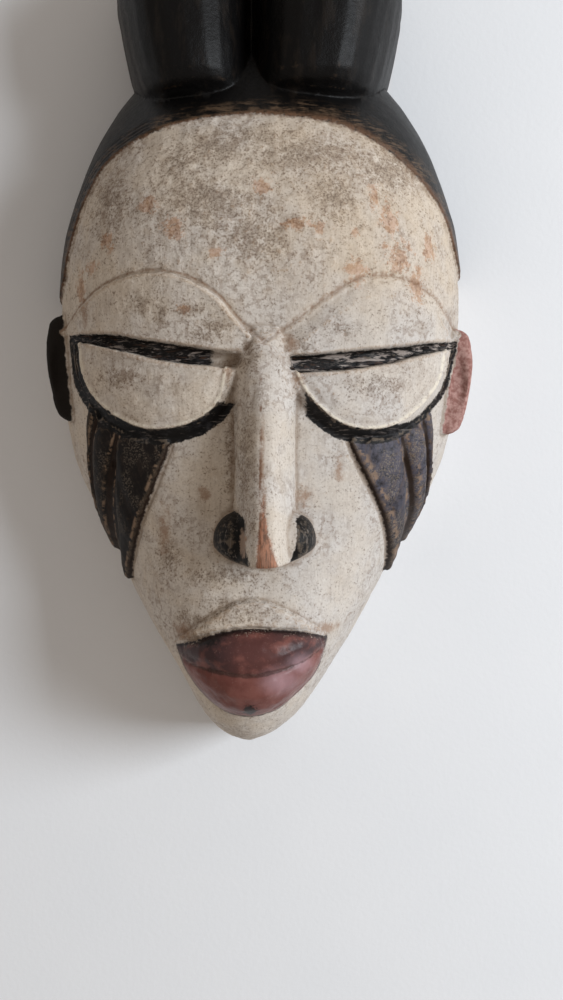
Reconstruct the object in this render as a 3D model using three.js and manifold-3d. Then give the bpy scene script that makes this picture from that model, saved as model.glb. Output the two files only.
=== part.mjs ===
// A carved wooden face mask in a Central African style: a long hollow face with half-closed
// eyes, a straight ridged nose, full lips, black tresses on the cheeks and two tall lobes of
// hair. It is one solid, cut from a single block, and lies on its flat back with the face up.
// Millimetres. +X is the viewer's right, +Y the top of the head, +Z out of the face.
// The origin is below the middle of the mask, in the plane of the rim it rests on.
import * as THREE from "three";
import { mergeVertices } from "three/addons/utils/BufferGeometryUtils.js";
import Module from "manifold-3d";

// Overall sizes. The outlines further down are in hundredths of half the height, half the width
// and the depth, so the carving keeps its proportions when one of the three changes.
const maskHeight = 350; // chin to the top of the hair
const faceWidth = 177; // at the temples, without the ears
const faceDepth = 92; // rim to forehead
const wall = 13; // wood left around the hollow

// How far each carved form stands out of the face or is sunk into it.
const browRise = 2.8;
const browEdge = { left: 2.2, right: 8 }; // width of the slope along its edge
const lidRise = 5;
const lidEdge = 4.6;
const slotDepth = 2.6;
const slotEdge = 1.1;
const ridgeRise = 3.4; // the pale arch over the mouth
const lipRise = 9;
const tressRise = 4;
const hairRise = 1.6;
const bury = 1.3; // how far an edge runs into the face, so no sliver is left

// Nose.
const noseHalf = 12.2;
const ridgeHalf = 2.2; // half-width of the flat along the ridge
const bridgeRise = 7; // ridge above the face, at the bridge and at the tip
const tipRise = 32;
const wingRadius = 9;
const wingDepth = 15;

// Ears: flanges on the side walls, hollowed in front.
const earProud = 2.8; // past the temples
const earLength = 43;
const earThick = 12;
const earMiddle = 35; // height above the rim
const earScoop = 1.8;

// The two lobes of hair.
const lobeDepth = 79;
const lobeOverlap = 3; // past the parting, so the two are one

// How the face is cut by a plane across it: 2 is an ellipse, more is squarer.
const squareness = 2.4;

// Half-width of the face at each level, from chin to crown.
const plan = [
  [-100, 5.6],
  [-98.6, 13.6],
  [-96, 20.3],
  [-92, 27.1],
  [-81.7, 39.5],
  [-72, 51.4],
  [-61.1, 63.3],
  [-51.4, 72.2],
  [-42, 82.8],
  [-34, 90.8],
  [-26, 95.6],
  [-14, 98.9],
  [8, 100],
  [24.6, 96.7],
  [34.3, 91.3],
  [44.6, 83.9],
  [54.9, 73.3],
  [61.7, 63.3],
  [68.6, 49.7],
  [73.7, 33.9],
  [76.6, 18.1],
];

// Height of the middle of the face at each level, without nose and lips.
const profile = [
  [-100, 45],
  [-97.7, 59],
  [-93.7, 72],
  [-86.9, 85],
  [-78.9, 92],
  [-67.4, 92],
  [-56, 88],
  [-42, 86],
  [-28.6, 86],
  [-10.3, 90.2],
  [4.6, 97.8],
  [19.4, 100],
  [33.1, 94.6],
  [43.4, 85.9],
  [52.6, 73.9],
  [60.6, 62],
  [68.6, 47.8],
  [76.6, 28.3],
];

// The face leans a little to the left towards the chin.
const lean = [
  [-100, -5.6],
  [-85.7, -3],
  [-61.1, -2.4],
  [-51.4, -1.2],
  [-34, -0.5],
  [0, 0],
  [35, 0.8],
  [76.6, 0.8],
];

// Front-view outlines of the carving. The two sides were cut freely and differ.
const brows = {
  left: [
    [3, -6.3], [-8, -1.1], [-18, 4.6], [-33, 8.9],
    [-51, 10.3], [-68, 8.6], [-81, 5.1], [-96, -0.6],
  ],
  right: [
    [3, -6.3], [16, -1.7], [31, 4], [47, 8.6],
    [64, 9.4], [78, 7.1], [88, 3.4], [97, -1.1],
  ],
};
const slotTops = {
  left: [[-8, -8.6], [-26, -7.4], [-49, -5.4], [-68, -3.4], [-90, -2]],
  right: [[11, -9.1], [25, -8.9], [45, -7.7], [68, -6], [95, -2.9]],
};
const lidTops = {
  left: [[-8, -11.4], [-26, -10.9], [-43, -9.7], [-60, -7.4], [-90, -3]],
  right: [[11, -12], [25, -12.3], [41, -11.7], [63, -9.4], [95, -4]],
};
const lidArcs = {
  left: [
    [-8, -12.4], [-11, -19], [-18, -23.6], [-31, -27], [-49, -28],
    [-64, -25.6], [-78, -20.4], [-87, -13.1], [-90, -4],
  ],
  right: [
    [11, -13], [17, -18.6], [26, -23.4], [37, -26.9], [52, -28],
    [67, -26], [80, -20.8], [90, -14.3], [95, -5],
  ],
};
const mouthTop = [
  [-38, -74.9], [-29, -73.4], [-18, -71.5], [-6, -70.4], [10, -70.6], [21, -71.3], [32, -72.8],
];
const mouthLow = [
  [-38, -75.8], [-34, -81.1], [-26, -86.6], [-15, -90.6], [-3, -91.7],
  [8, -90.3], [18, -86.6], [27, -81.7], [32, -73.6],
];
const archTop = [[-42, -74.6], [-24, -68], [-7, -63.4], [9, -64.6], [34, -71.8]];
const noseFoot = [
  [-40, -46], [-19, -52.2], [-12, -54.6], [-5, -55.7], [3, -56.2],
  [12, -55.7], [19, -54.4], [26, -52], [44, -46],
];
const hairline = [
  [-108, 5], [-95, 11.4], [-90, 20.6], [-75, 36], [-52, 42.9], [-31, 45.7], [-2, 47.1],
  [19, 46.3], [40, 44.6], [59, 40], [75, 34.3], [88, 27.4], [95, 19.4], [108, 9],
];

// The nose from bridge to tip: [level, half-width and rise as shares of noseHalf and of the way
// from bridgeRise to tipRise].
const noseX = 3.3;
const noseRows = [
  [-2, 0.5, -0.28],
  [-7.4, 0.7, 0],
  [-12.6, 1, 0.14],
  [-29, 0.97, 0.56],
  [-44, 1, 0.85],
  [-52, 1.02, 0.99],
  [-55.5, 1.02, 1],
  [-58, 1.02, 0.93],
];
const wingLevel = -50.4;
const wingOut = 0.94; // of noseHalf, from the middle of the nose

// Tresses, from the one next to the nose outward: levels of top and tip, and the angles around
// the face of the inner and outer edge at the top and of the tip. A higher bend keeps the outer
// edge longer near its first angle. The right tips were cut higher and nearer to the rim.
const tresses = [
  { top: -24, tip: -60.5, innerAngle: 69.5, outerAngle: 50, tipAngle: 21, bend: 1.8 },
  { top: -22, tip: -53.5, innerAngle: 52, outerAngle: 41, tipAngle: 12, bend: 1.8 },
  { top: -18, tip: -50, innerAngle: 43, outerAngle: 38, tipAngle: 14, bend: 2.2 },
];
const tressTurn = { left: 1.5, right: 0 }; // degrees nearer to the nose
const tipShare = { left: 1.1, right: 0.62 }; // of the tips' angles
const tipLift = { left: 0, right: 1.6 }; // levels

const earTops = { left: 2.6, right: -0.6 };

// Outer edge of the lobes: [level, half-width], from inside the skull to the top.
const lobeSide = [
  [51, 54],
  [57, 60.5],
  [69, 66.8],
  [81, 71.5],
  [90, 73],
  [100, 73],
];
const partingX = -3.8;
const lobeCurl = 80; // level where the tops begin to round over

const wasm = await Module();
wasm.setup();

const mix = (a, b, t) => a + (b - a) * t;
const spread = (count, from, to) =>
  Array.from({ length: count }, (_, i) => mix(from, to, i / (count - 1)));
const across = (x) => (x * faceWidth) / 200;
const level = (y) => (y * maskHeight) / 200;

// Reads a smooth curve through [place, value] stations.
function through(stations, place) {
  const last = stations.length - 1;
  let i = 0;
  while (i < last - 1 && place > stations[i + 1][0]) i++;
  const slope = (k) => {
    const [low, high] = [stations[Math.max(k - 1, 0)], stations[Math.min(k + 1, last)]];
    return (high[1] - low[1]) / (high[0] - low[0]);
  };
  const [[p0, v0], [p1, v1]] = [stations[i], stations[i + 1]];
  const span = p1 - p0;
  const t = THREE.MathUtils.clamp((place - p0) / span, 0, 1);
  const bend = t * (1 - t) * (slope(i) * span * (1 - t) - slope(i + 1) * span * t);
  return mix(v0, v1, t * t * (3 - 2 * t)) + bend;
}

// Middle, half-width and height of the face across it at height y on the mask.
function section(y, rise = 0) {
  const share = (200 * y) / maskHeight;
  return {
    middle: across(through(lean, share)),
    half: Math.max(across(through(plan, share)) + rise, 1),
    high: Math.max((through(profile, share) * faceDepth) / 100 + rise, 1),
  };
}

// The point of the face over (x, y) in the front view.
function onFront([x, y], rise) {
  const { middle, half, high } = section(y);
  const share = Math.min(Math.abs(x - middle) / half, 0.995);
  return new THREE.Vector3(x, y, high * (1 - share ** squareness) ** (1 / squareness) + rise);
}

// The point of the face at an angle up from the rim, on the left or the right.
function onSide(hand) {
  const side = hand === "left" ? -1 : 1;
  return ([angle, y], rise) => {
    const { middle, half, high } = section(y);
    const a = THREE.MathUtils.degToRad(angle);
    const [u, v] = [Math.cos(a) ** (2 / squareness), Math.sin(a) ** (2 / squareness)];
    const [outX, outZ] = [u ** (squareness - 1) / half, v ** (squareness - 1) / high];
    const step = rise / Math.hypot(outX, outZ);
    return new THREE.Vector3(
      middle + side * (half * u + outX * step),
      y,
      high * v + outZ * step,
    );
  };
}

function solidOf(geometry) {
  geometry.deleteAttribute("normal");
  geometry.deleteAttribute("uv");
  const merged = mergeVertices(geometry, 1e-3);
  return new wasm.Manifold(
    new wasm.Mesh({
      numProp: 3,
      vertProperties: merged.attributes.position.array,
      triVerts: new Uint32Array(merged.index.array),
    }),
  );
}

function geometryOf(solid) {
  const { numProp, vertProperties, triVerts } = solid.getMesh();
  const position = new Float32Array((vertProperties.length / numProp) * 3);
  for (let i = 0; i < position.length / 3; i++)
    position.set(vertProperties.subarray(i * numProp, i * numProp + 3), i * 3);
  const geometry = new THREE.BufferGeometry();
  geometry.setAttribute("position", new THREE.BufferAttribute(position, 3));
  geometry.setIndex(new THREE.BufferAttribute(triVerts, 1));
  return geometry;
}

// A closed solid over rings of points, with a fan over each end ring.
function loft(rings) {
  const count = rings[0].length;
  const middle = (ring) =>
    ring.reduce((sum, p) => sum.add(p), new THREE.Vector3()).divideScalar(count);
  const points = [...rings.flat(), middle(rings[0]), middle(rings.at(-1))];
  const start = rings.length * count;
  const faces = [];
  for (let j = 0; j < count; j++) {
    const k = (j + 1) % count;
    for (let i = 0; i < rings.length - 1; i++) {
      const [a, b] = [i * count + j, i * count + k];
      faces.push([a, b, b + count], [a, b + count, a + count]);
    }
    faces.push([start, k, j], [start + 1, start - count + j, start - count + k]);
  }
  const build = (list) => {
    const geometry = new THREE.BufferGeometry().setFromPoints(points);
    return solidOf(geometry.setIndex(list.flat()));
  };
  const solid = build(faces);
  return solid.volume() > 0 ? solid : build(faces.map(([a, b, c]) => [a, c, b]));
}

// A smooth line through points given in hundredths, read by its share t of the way along.
function line(points) {
  const curve = new THREE.SplineCurve(
    points.map(([x, y]) => new THREE.Vector2(across(x), level(y))),
  );
  return (t) => curve.getPointAt(t).toArray();
}

// A strip laid on the face between two lines. ridge gives, for the gap between them, a list of
// [share of the way across, rise]; foot is where the strip ends inside or above the wood.
function strip(lineA, lineB, steps, ridge, foot, lay = onFront) {
  return loft(
    spread(steps, 0, 1).map((t) => {
      const [a, b] = [lineA(t), lineB(t)];
      const gap = Math.hypot(a[0] - b[0], a[1] - b[1]);
      const at = (share) => [mix(a[0], b[0], share), mix(a[1], b[1], share)];
      const rows = ridge(gap, t);
      return [[0, foot], ...rows, [1, foot]].map(([share, rise]) => lay(at(share), rise));
    }),
  );
}

// Rises for a raised field whose edges slope over the given widths. It dies away where its
// lines end, at t = 1.
function field(rise, edgeA, edgeB, crown = 0) {
  return (gap, t) => {
    const [a, b] = [edgeA, edgeB].map((edge) => Math.min(edge / gap, 0.42));
    const full = rise * Math.min(gap / (edgeA + edgeB), 1) * Math.min(0.3 + 6 * (1 - t), 1);
    return [
      [0, -bury],
      [a, full],
      [mix(a, 1 - b, 0.33), full + crown],
      [mix(a, 1 - b, 0.67), full + crown],
      [1 - b, full],
      [1, -bury],
    ];
  };
}

// A front-view outline, cut straight through the mask.
function throughCut(points) {
  const geometry = new THREE.ExtrudeGeometry(new THREE.Shape(points), {
    depth: 3 * faceDepth,
    bevelEnabled: false,
  });
  return solidOf(geometry.translate(0, 0, -faceDepth));
}

function ellipsoid([x, y, z], [rx, ry, rz], around, up) {
  const geometry = new THREE.SphereGeometry(1, around, up);
  return solidOf(geometry.scale(rx, ry, rz).translate(x, y, z));
}

// The plain skull, swollen or shrunk by rise. Its ends close over when rounded.
function skull(rise, rows, points, from, to, { floor = 0, rounded = false } = {}) {
  return loft(
    spread(rows, 0, 1).map((t) => {
      const share = (1 - Math.cos(Math.PI * t)) / 2;
      const y = mix(from, to, share);
      const { middle, half, high } = section(y, rise);
      const close = rounded ? Math.max(1 - Math.abs(2 * share - 1) ** 9, 0.03) ** 0.5 : 1;
      const arc = spread(points, 0, Math.PI).map((a) => {
        const u = Math.abs(Math.cos(a)) ** (2 / squareness) * Math.sign(Math.cos(a));
        const v = Math.max(Math.sin(a), 0) ** (2 / squareness);
        return new THREE.Vector3(middle + half * close * u, y, high * close * v);
      });
      if (floor === 0) return arc;
      const below = (p) => p.clone().setZ(floor);
      return [below(arc[0]), ...arc, below(arc.at(-1))];
    }),
  );
}

const top = lobeSide.at(-1)[0];
const chin = level(plan[0][0]);
const crown = level(plan.at(-1)[0]);

function nose() {
  const middle = across(noseX);
  const prism = loft(
    noseRows.map(([row, wide, up]) => {
      const flat = ridgeHalf * (1 + 0.6 * Math.max(up, 0));
      const y = level(row);
      const face = onFront([middle, y], 0).z;
      const [half, ridge] = [noseHalf * wide, face + mix(bridgeRise, tipRise, up)];
      const side = [
        [half, face - wall / 2],
        [half, mix(face, ridge, 0.14)],
        [half * 0.86, mix(face, ridge, 0.42)],
        [half * 0.55, mix(face, ridge, 0.8)],
        [flat * 1.2, mix(face, ridge, 0.96)],
        [flat * 0.5, ridge],
      ];
      const mirrored = side.map(([x, z]) => [-x, z]).reverse();
      return [...side, ...mirrored].map(([x, z]) => new THREE.Vector3(middle + x, y, z));
    }),
  );
  const y = level(wingLevel);
  const wings = [-1, 1].map((side) =>
    ellipsoid(
      [middle + side * wingOut * noseHalf, y, onFront([middle, y], 0).z + wingDepth * 0.3],
      [wingRadius, wingRadius * 1.2, wingDepth],
      14,
      10,
    ),
  );
  const base = new THREE.SplineCurve(
    noseFoot.map(([x, row]) => new THREE.Vector2(across(x), level(row))),
  ).getPoints(16);
  const under = [base.at(-1).x, base[0].x].map((x) => new THREE.Vector2(x, chin));
  return prism.add(wings[0]).add(wings[1]).subtract(throughCut([...base, ...under]));
}

function lips() {
  const ridge = (gap) => {
    const full = lipRise * Math.min(gap / 18, 1) ** 0.8;
    return [
      [0, -bury],
      [0.05, full * 0.42],
      [0.17, full * 0.74],
      [0.33, full * 0.86],
      [0.46, full * 0.66],
      [0.58, full * 0.9],
      [0.73, full],
      [0.88, full * 0.82],
      [0.97, full * 0.36],
      [1, -2.5 * bury],
    ];
  };
  return strip(line(mouthTop), line(mouthLow), 17, ridge, -wall / 2);
}

function tress(hand, { top, tip, innerAngle, outerAngle, tipAngle, bend }) {
  const [from, to] = [level(top), level(tip + tipLift[hand])];
  const tipHalf = 2.5; // degrees
  const end = tipAngle * tipShare[hand];
  const edge = (start, stop, power) => (t) => [
    mix(start + tressTurn[hand], stop, t ** power),
    mix(from, to, t),
  ];
  const ridge = (gap, t) => {
    const rise = tressRise * Math.min(0.2 + 5 * t, 1) * (1 - 0.3 * t ** 4);
    return [
      [0, 0.3 * rise],
      [0.1, 0.62 * rise],
      [0.4, 0.93 * rise],
      [0.74, rise],
      [0.93, 0.85 * rise],
      [1, 0.3 * rise],
    ];
  };
  const a = edge(innerAngle, end + tipHalf, 1.7);
  const b = edge(outerAngle, end - tipHalf, bend);
  return strip(a, b, 11, ridge, -wall / 3, onSide(hand));
}

function ear(side) {
  const reach = faceWidth / 2 + earProud;
  const top = level(side < 0 ? earTops.left : earTops.right);
  const root = (y) => {
    const { half, high } = section(y);
    return half * (1 - (earMiddle / high) ** squareness) ** (1 / squareness) - wall / 2;
  };
  const outline = new THREE.SplineCurve(
    [
      [root(top), top + 3],
      [mix(root(top), reach, 0.75), top + 1],
      [reach - 0.5, top - 0.13 * earLength],
      [reach, top - 0.4 * earLength],
      [reach - 2.5, top - 0.74 * earLength],
      [mix(root(top), reach, 0.5), top - 0.98 * earLength],
      [root(top - earLength), top - earLength],
    ].map(([x, y]) => new THREE.Vector2(x, y)),
  ).getPoints(15);
  const bevel = 1.5;
  const geometry = new THREE.ExtrudeGeometry(new THREE.Shape(outline), {
    depth: earThick - 2 * bevel,
    bevelThickness: bevel,
    bevelSize: bevel,
    bevelOffset: -bevel,
    bevelSegments: 1,
  });
  geometry.translate(0, 0, earMiddle - earThick / 2 + bevel);
  const middle = top - 0.46 * earLength;
  const scoop = ellipsoid(
    [root(middle) + wall / 2 + 2, middle, earMiddle + earThick / 2 + 2],
    [reach - root(middle) - wall / 2 - 4, earLength * 0.36, earScoop + 2],
    16,
    10,
  );
  const solid = solidOf(geometry).subtract(scoop);
  return side > 0 ? solid : solid.mirror([1, 0, 0]);
}

function hairCap() {
  const front = new THREE.SplineCurve(
    hairline.map(([x, y]) => new THREE.Vector2(across(x), level(y))),
  ).getPoints(30);
  const over = [front.at(-1).x, front[0].x].map((x) => new THREE.Vector2(x, level(top)));
  const cap = skull(hairRise, 24, 28, level(0), crown);
  return cap.intersect(throughCut([...front, ...over]));
}

function lobe(side) {
  const [from, curl, end] = [lobeSide[0][0], lobeCurl, top].map(level);
  const rows = [
    ...spread(4, from, from + 12).map((y, i) => [y, [0.62, 0.86, 0.95, 0.985][i], 1]),
    ...spread(4, from + 22, curl).map((y) => [y, 1, 1]),
    ...spread(7, 0.2, 1).map((t) => {
      const a = (t * Math.PI) / 2;
      const [tall, wide] = [Math.cos(a) ** 0.7, Math.cos(a) ** 0.6];
      return [mix(curl, end, Math.sin(a)), Math.max(tall, 0.3), Math.max(wide, 0.4)];
    }),
  ];
  return loft(
    rows.map(([y, tall, wide]) => {
      const outer = side * across(through(lobeSide, (200 * y) / maskHeight));
      const inner = across(partingX) - side * lobeOverlap;
      const [middle, half] = [(inner + outer) / 2, (Math.abs(outer - inner) / 2) * wide];
      return spread(17, 0, Math.PI).map((a) => {
        const u = Math.abs(Math.cos(a)) ** 0.78 * Math.sign(Math.cos(a));
        const v = Math.max(Math.sin(a), 0) ** 0.72;
        return new THREE.Vector3(middle + half * u, y, lobeDepth * tall * v);
      });
    }),
  );
}

// The hollow stops short of the lobes and of the chin.
function hollow() {
  const [from, to] = [chin + 1.9 * wall, level(lobeSide[0][0]) - 0.2 * wall];
  return skull(-wall, 20, 18, from, to, { floor: -1, rounded: true });
}

function mask() {
  let solid = skull(0, 40, 28, chin, crown).add(hairCap());
  for (const hand of ["left", "right"]) {
    const [brow, slotTop, lidTop, lidArc] = [brows, slotTops, lidTops, lidArcs].map((set) =>
      line(set[hand]),
    );
    solid = solid
      .add(strip(brow, slotTop, 14, field(browRise, browEdge[hand], slotEdge), -wall / 2))
      .subtract(strip(slotTop, lidTop, 12, field(-slotDepth, 1, 1), faceDepth / 4))
      .add(strip(lidTop, lidArc, 16, field(lidRise, slotEdge, lidEdge, 0.5), -wall / 2));
    for (const size of tresses) solid = solid.add(tress(hand, size));
  }
  solid = solid.add(strip(line(archTop), line(mouthTop), 12, field(ridgeRise, 2, 1), -wall / 2));
  for (const side of [-1, 1]) solid = solid.add(ear(side)).add(lobe(side));
  return solid.add(nose()).add(lips()).subtract(hollow());
}

const group = new THREE.Group();
const wood = new THREE.MeshStandardMaterial({ color: 0xc9bba8, roughness: 0.85, metalness: 0 });
const mesh = new THREE.Mesh(geometryOf(mask()), wood);
mesh.name = "mask";
group.add(mesh);

export default group;
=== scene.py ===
"""A carved and painted wooden face mask, lying face up on a pale floor."""
import bpy
import numpy as np
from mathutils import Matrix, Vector


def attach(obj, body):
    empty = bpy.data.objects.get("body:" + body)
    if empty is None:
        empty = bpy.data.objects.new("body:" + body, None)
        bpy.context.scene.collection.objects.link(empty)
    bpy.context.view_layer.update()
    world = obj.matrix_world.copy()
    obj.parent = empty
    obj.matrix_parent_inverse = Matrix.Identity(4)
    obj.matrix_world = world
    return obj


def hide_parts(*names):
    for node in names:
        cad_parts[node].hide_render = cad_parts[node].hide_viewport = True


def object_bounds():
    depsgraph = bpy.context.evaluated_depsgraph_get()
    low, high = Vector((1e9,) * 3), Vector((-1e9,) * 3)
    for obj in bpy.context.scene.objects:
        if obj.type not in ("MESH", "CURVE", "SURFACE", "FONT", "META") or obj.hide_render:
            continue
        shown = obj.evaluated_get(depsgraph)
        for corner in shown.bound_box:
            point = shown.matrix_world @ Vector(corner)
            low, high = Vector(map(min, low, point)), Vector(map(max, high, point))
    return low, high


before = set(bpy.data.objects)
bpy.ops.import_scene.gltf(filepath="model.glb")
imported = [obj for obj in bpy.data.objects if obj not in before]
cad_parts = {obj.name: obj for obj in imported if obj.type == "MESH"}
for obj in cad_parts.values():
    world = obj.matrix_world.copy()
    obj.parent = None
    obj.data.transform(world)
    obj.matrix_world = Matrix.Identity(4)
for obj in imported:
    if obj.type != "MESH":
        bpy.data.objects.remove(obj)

cad_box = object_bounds()
MM = 0.001

# The face's own measures in millimetres, and the squareness of its sections, as in the solid.
HEIGHT, WIDTH, DEPTH, SQUARE = 350.0, 177.0, 92.0, 2.4
# Half-width, depth and sideways lean at levels along the height, all in hundredths.
PLAN = [
    (-100, 5.6), (-98.6, 13.6), (-96, 20.3), (-92, 27.1), (-81.7, 39.5), (-72, 51.4),
    (-61.1, 63.3), (-51.4, 72.2), (-42, 82.8), (-34, 90.8), (-26, 95.6), (-14, 98.9),
    (8, 100), (24.6, 96.7), (34.3, 91.3), (44.6, 83.9), (54.9, 73.3), (61.7, 63.3),
    (68.6, 49.7), (73.7, 33.9), (76.6, 18.1),
]
PROFILE = [
    (-100, 45), (-97.7, 59), (-93.7, 72), (-86.9, 85), (-78.9, 92), (-67.4, 92), (-56, 88),
    (-42, 86), (-28.6, 86), (-10.3, 90.2), (4.6, 97.8), (19.4, 100), (33.1, 94.6),
    (43.4, 85.9), (52.6, 73.9), (60.6, 62), (68.6, 47.8), (76.6, 28.3),
]
LEAN = [(-100, -5.6), (-85.7, -3), (-61.1, -2.4), (-51.4, -1.2), (-34, -0.5), (0, 0),
        (35, 0.8), (76.6, 0.8)]
# Lines on the face from the nose outward, in hundredths of its half-width and half-height.
BROWS = {
    "left": [(3, -6.3), (-8, -1.1), (-18, 4.6), (-33, 8.9), (-51, 10.3), (-68, 8.6),
             (-81, 5.1), (-96, -0.6)],
    "right": [(3, -6.3), (16, -1.7), (31, 4), (47, 8.6), (64, 9.4), (78, 7.1), (88, 3.4),
              (97, -1.1)],
}
SLOT_TOPS = {
    "left": [(-8, -8.6), (-26, -7.4), (-49, -5.4), (-68, -3.4), (-90, -2)],
    "right": [(11, -9.1), (25, -8.9), (45, -7.7), (68, -6), (95, -2.9)],
}
LID_TOPS = {
    "left": [(-8, -11.4), (-26, -10.9), (-43, -9.7), (-60, -7.4), (-90, -3)],
    "right": [(11, -12), (25, -12.3), (41, -11.7), (63, -9.4), (95, -4)],
}
LID_ARCS = {
    "left": [(-8, -12.4), (-11, -19), (-18, -23.6), (-31, -27), (-49, -28), (-64, -25.6),
             (-78, -20.4), (-87, -13.1), (-90, -4)],
    "right": [(11, -13), (17, -18.6), (26, -23.4), (37, -26.9), (52, -28), (67, -26),
              (80, -20.8), (90, -14.3), (95, -5)],
}
MOUTH_TOP = [(-38, -74.9), (-29, -73.4), (-18, -71.5), (-6, -70.4), (10, -70.6),
             (21, -71.3), (32, -72.8)]
MOUTH_LOW = [(-38, -75.8), (-34, -81.1), (-26, -86.6), (-15, -90.6), (-3, -91.7),
             (8, -90.3), (18, -86.6), (27, -81.7), (32, -73.6)]
ARCH_TOP = [(-42, -74.6), (-24, -68), (-7, -63.4), (9, -64.6), (34, -71.8)]
HAIRLINE = [(-108, 5), (-95, 11.4), (-90, 20.6), (-75, 36), (-52, 42.9), (-31, 45.7),
            (-2, 47.1), (19, 46.3), (40, 44.6), (59, 40), (75, 34.3), (88, 27.4),
            (95, 19.4), (108, 9)]
# Tresses: level of top and tip, angles of the inner and outer edge at the top and of the tip,
# and the bend of the outer edge. For each side: turn of the tops, share of the tips' angles,
# and lift of the tips.
TRESSES = [(-24, -60.5, 69.5, 50, 21, 1.8), (-22, -53.5, 52, 41, 12, 1.8),
           (-18, -50, 43, 38, 14, 2.2)]
TRESS_SIDES = {-1: (1.5, 1.1, 0), 1: (0, 0.62, 1.6)}
# Painted places on the nose, in millimetres.
WINGS = [
    [(-24, -90), (-20, -80), (-14, -76.6), (-8, -77), (-3.8, -80.5), (-4.6, -86), (-4, -91),
     (-2.6, -96), (-2.6, -104), (-14, -104), (-24, -97)],
    [(28, -90), (23.5, -80), (18.5, -77), (15, -80), (15.6, -86), (14.4, -92), (12.6, -98),
     (12.2, -104), (20, -104), (28, -96)],
]

VOXEL = 0.8  # millimetres, of the dense carving mesh
TRIANGLES = 190000  # of the finished piece
FAR = 12.0  # millimetres, what a distance from a border is held to
PROUD_LEAST = -4.0  # millimetres from the plain face; what lies deeper belongs to the hollow
LOBES_FROM = 0.27  # of the height; everything above is hair
TO_DEGREE = 1.3  # millimetres to a degree round the face, on the cheek
TIP_HALF = 2.5  # degrees, half a tress's width at its tip
TIP_BEND = 1.7  # how late the inner edge of a tress turns to its tip

# Worn, dirty and brown places on the paint, and places of painted light: (x, y, half-width,
# half-height) in millimetres. The last three worn places are painted highlights, one on the
# left wing of the nose and two on the lips; some of the dirty places lie on the lips, and the
# two long ones on and beside the nose's left side are painted shade.
BALD_AND_SHEEN = [
    (-60.9, 31.2, 3.5, 5.5), (-32.8, 33.9, 5.5, 5.5), (-43.4, 44.3, 5, 4.5),
    (16.5, 35.2, 6.5, 3.6),
    (24.5, 33.4, 5, 3), (2.2, 50.6, 4.5, 4), (56.1, 24.7, 6.5, 7.5), (52.4, 39, 4, 8),
    (39.1, 17.1, 5.5, 5), (46.4, 48, 2.5, 6), (-16, 23.4, 4, 3), (-28.6, 2.1, 3.8, 2.2),
    (-73.6, 14, 2.5, 9), (38.2, 32.3, 2.5, 2), (64, 14, 4, 8), (-68, 22, 3, 4), (70, 30, 3, 7),
    (-5.2, -89, 1.7, 7), (9, -143.5, 9, 6.5), (17, -137, 6, 5),
]
SOOT_AND_SHADE = [
    (-16.2, 67, 13, 8), (-3, 72, 14, 5), (-29, 60, 10, 7), (29.7, 47, 10, 9), (-46.8, 5, 6, 4),
    (-37.7, 1.4, 3, 5), (34.9, -5.3, 8, 2.5), (18, -12.5, 5, 5), (-56, -24, 8, 4),
    (46, -27, 11, 5), (-3, -16, 5, 7), (-14, -103, 16, 4), (-36.4, -96, 5, 8), (-20, 44, 22, 10),
    (18, 64, 24, 9), (-22, -127, 10, 4), (-11, -50, 2.5, 26), (0, 30, 12, 9), (-26, 2, 7, 3),
    (52, 60, 12, 10), (-60, 48, 8, 12), (-1, -80.5, 1.8, 5), (-3, -155.6, 4.4, 3.2),
    (-5, -117, 16, 3.5), (-17, -5, 7, 5), (-4.5, -56, 3.5, 24), (-22, -8, 6, 3),
    (-14, -112.5, 8, 2), (-26, -120, 6, 3),
]
STAIN = [
    (32.6, -60, 2.6, 8), (-30, -125, 7, 5), (-71, 4, 2.5, 8), (2.2, -60, 1.1, 14),
    (2.4, -47, 1.0, 9), (18.5, -70.5, 5, 6), (-21, -70, 4, 5), (13, -11, 4.5, 5), (3, -71, 1.4, 8),
    (-11.5, -22, 3, 6), (16.5, -24, 3.5, 5), (-38, -85, 4, 12), (28, -124, 8, 3),
]
# The bare wood at the tip of the nose, in millimetres, and the line between the lips, in
# hundredths.
TIP = [(2.6, -71), (3.6, -80), (5.2, -88), (7.8, -95), (9, -103), (-0.4, -103), (0.2, -92),
       (1.2, -82)]
LIP_LINE = [(-36, -77.6), (-28, -79), (-16, -80), (-3, -80.6), (10, -79.4), (22, -77.4),
            (31, -74.6)]


def through(stations, place):
    """Reads the same smooth curve through [place, value] stations as the solid uses."""
    p, v = np.array(stations, float).T
    last = len(p) - 1
    k = np.arange(last + 1)
    low, high = np.maximum(k - 1, 0), np.minimum(k + 1, last)
    slope = (v[high] - v[low]) / (p[high] - p[low])
    i = np.clip(np.searchsorted(p, place, side="left") - 1, 0, last - 1)
    span = p[i + 1] - p[i]
    t = np.clip((place - p[i]) / span, 0, 1)
    bend = t * (1 - t) * (slope[i] * span * (1 - t) - slope[i + 1] * span * t)
    return v[i] + (v[i + 1] - v[i]) * t * t * (3 - 2 * t) + bend


def section(y):
    """Middle, half-width and depth of the plain face at the levels y, in millimetres."""
    share = y * 200 / HEIGHT
    return (
        through(LEAN, share) * WIDTH / 200,
        np.maximum(through(PLAN, share) * WIDTH / 200, 1),
        np.maximum(through(PROFILE, share) * DEPTH / 100, 1),
    )


def proud(co):
    """How far points stand out of the plain face, in millimetres, and which way is out."""
    middle, half, high = section(co[:, 1])
    u = np.abs(co[:, 0] - middle) / half
    v = np.maximum(co[:, 2], 0) / high
    f = np.maximum(u**SQUARE + v**SQUARE, 1e-6) ** (1 / SQUARE)
    gx = (u / f) ** (SQUARE - 1) / half * np.sign(co[:, 0] - middle)
    gz = (v / f) ** (SQUARE - 1) / high
    size = np.maximum(np.hypot(gx, gz), 1e-6)
    return (f - 1) / size, np.stack([gx / size, np.zeros_like(gx), gz / size], 1)


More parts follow.
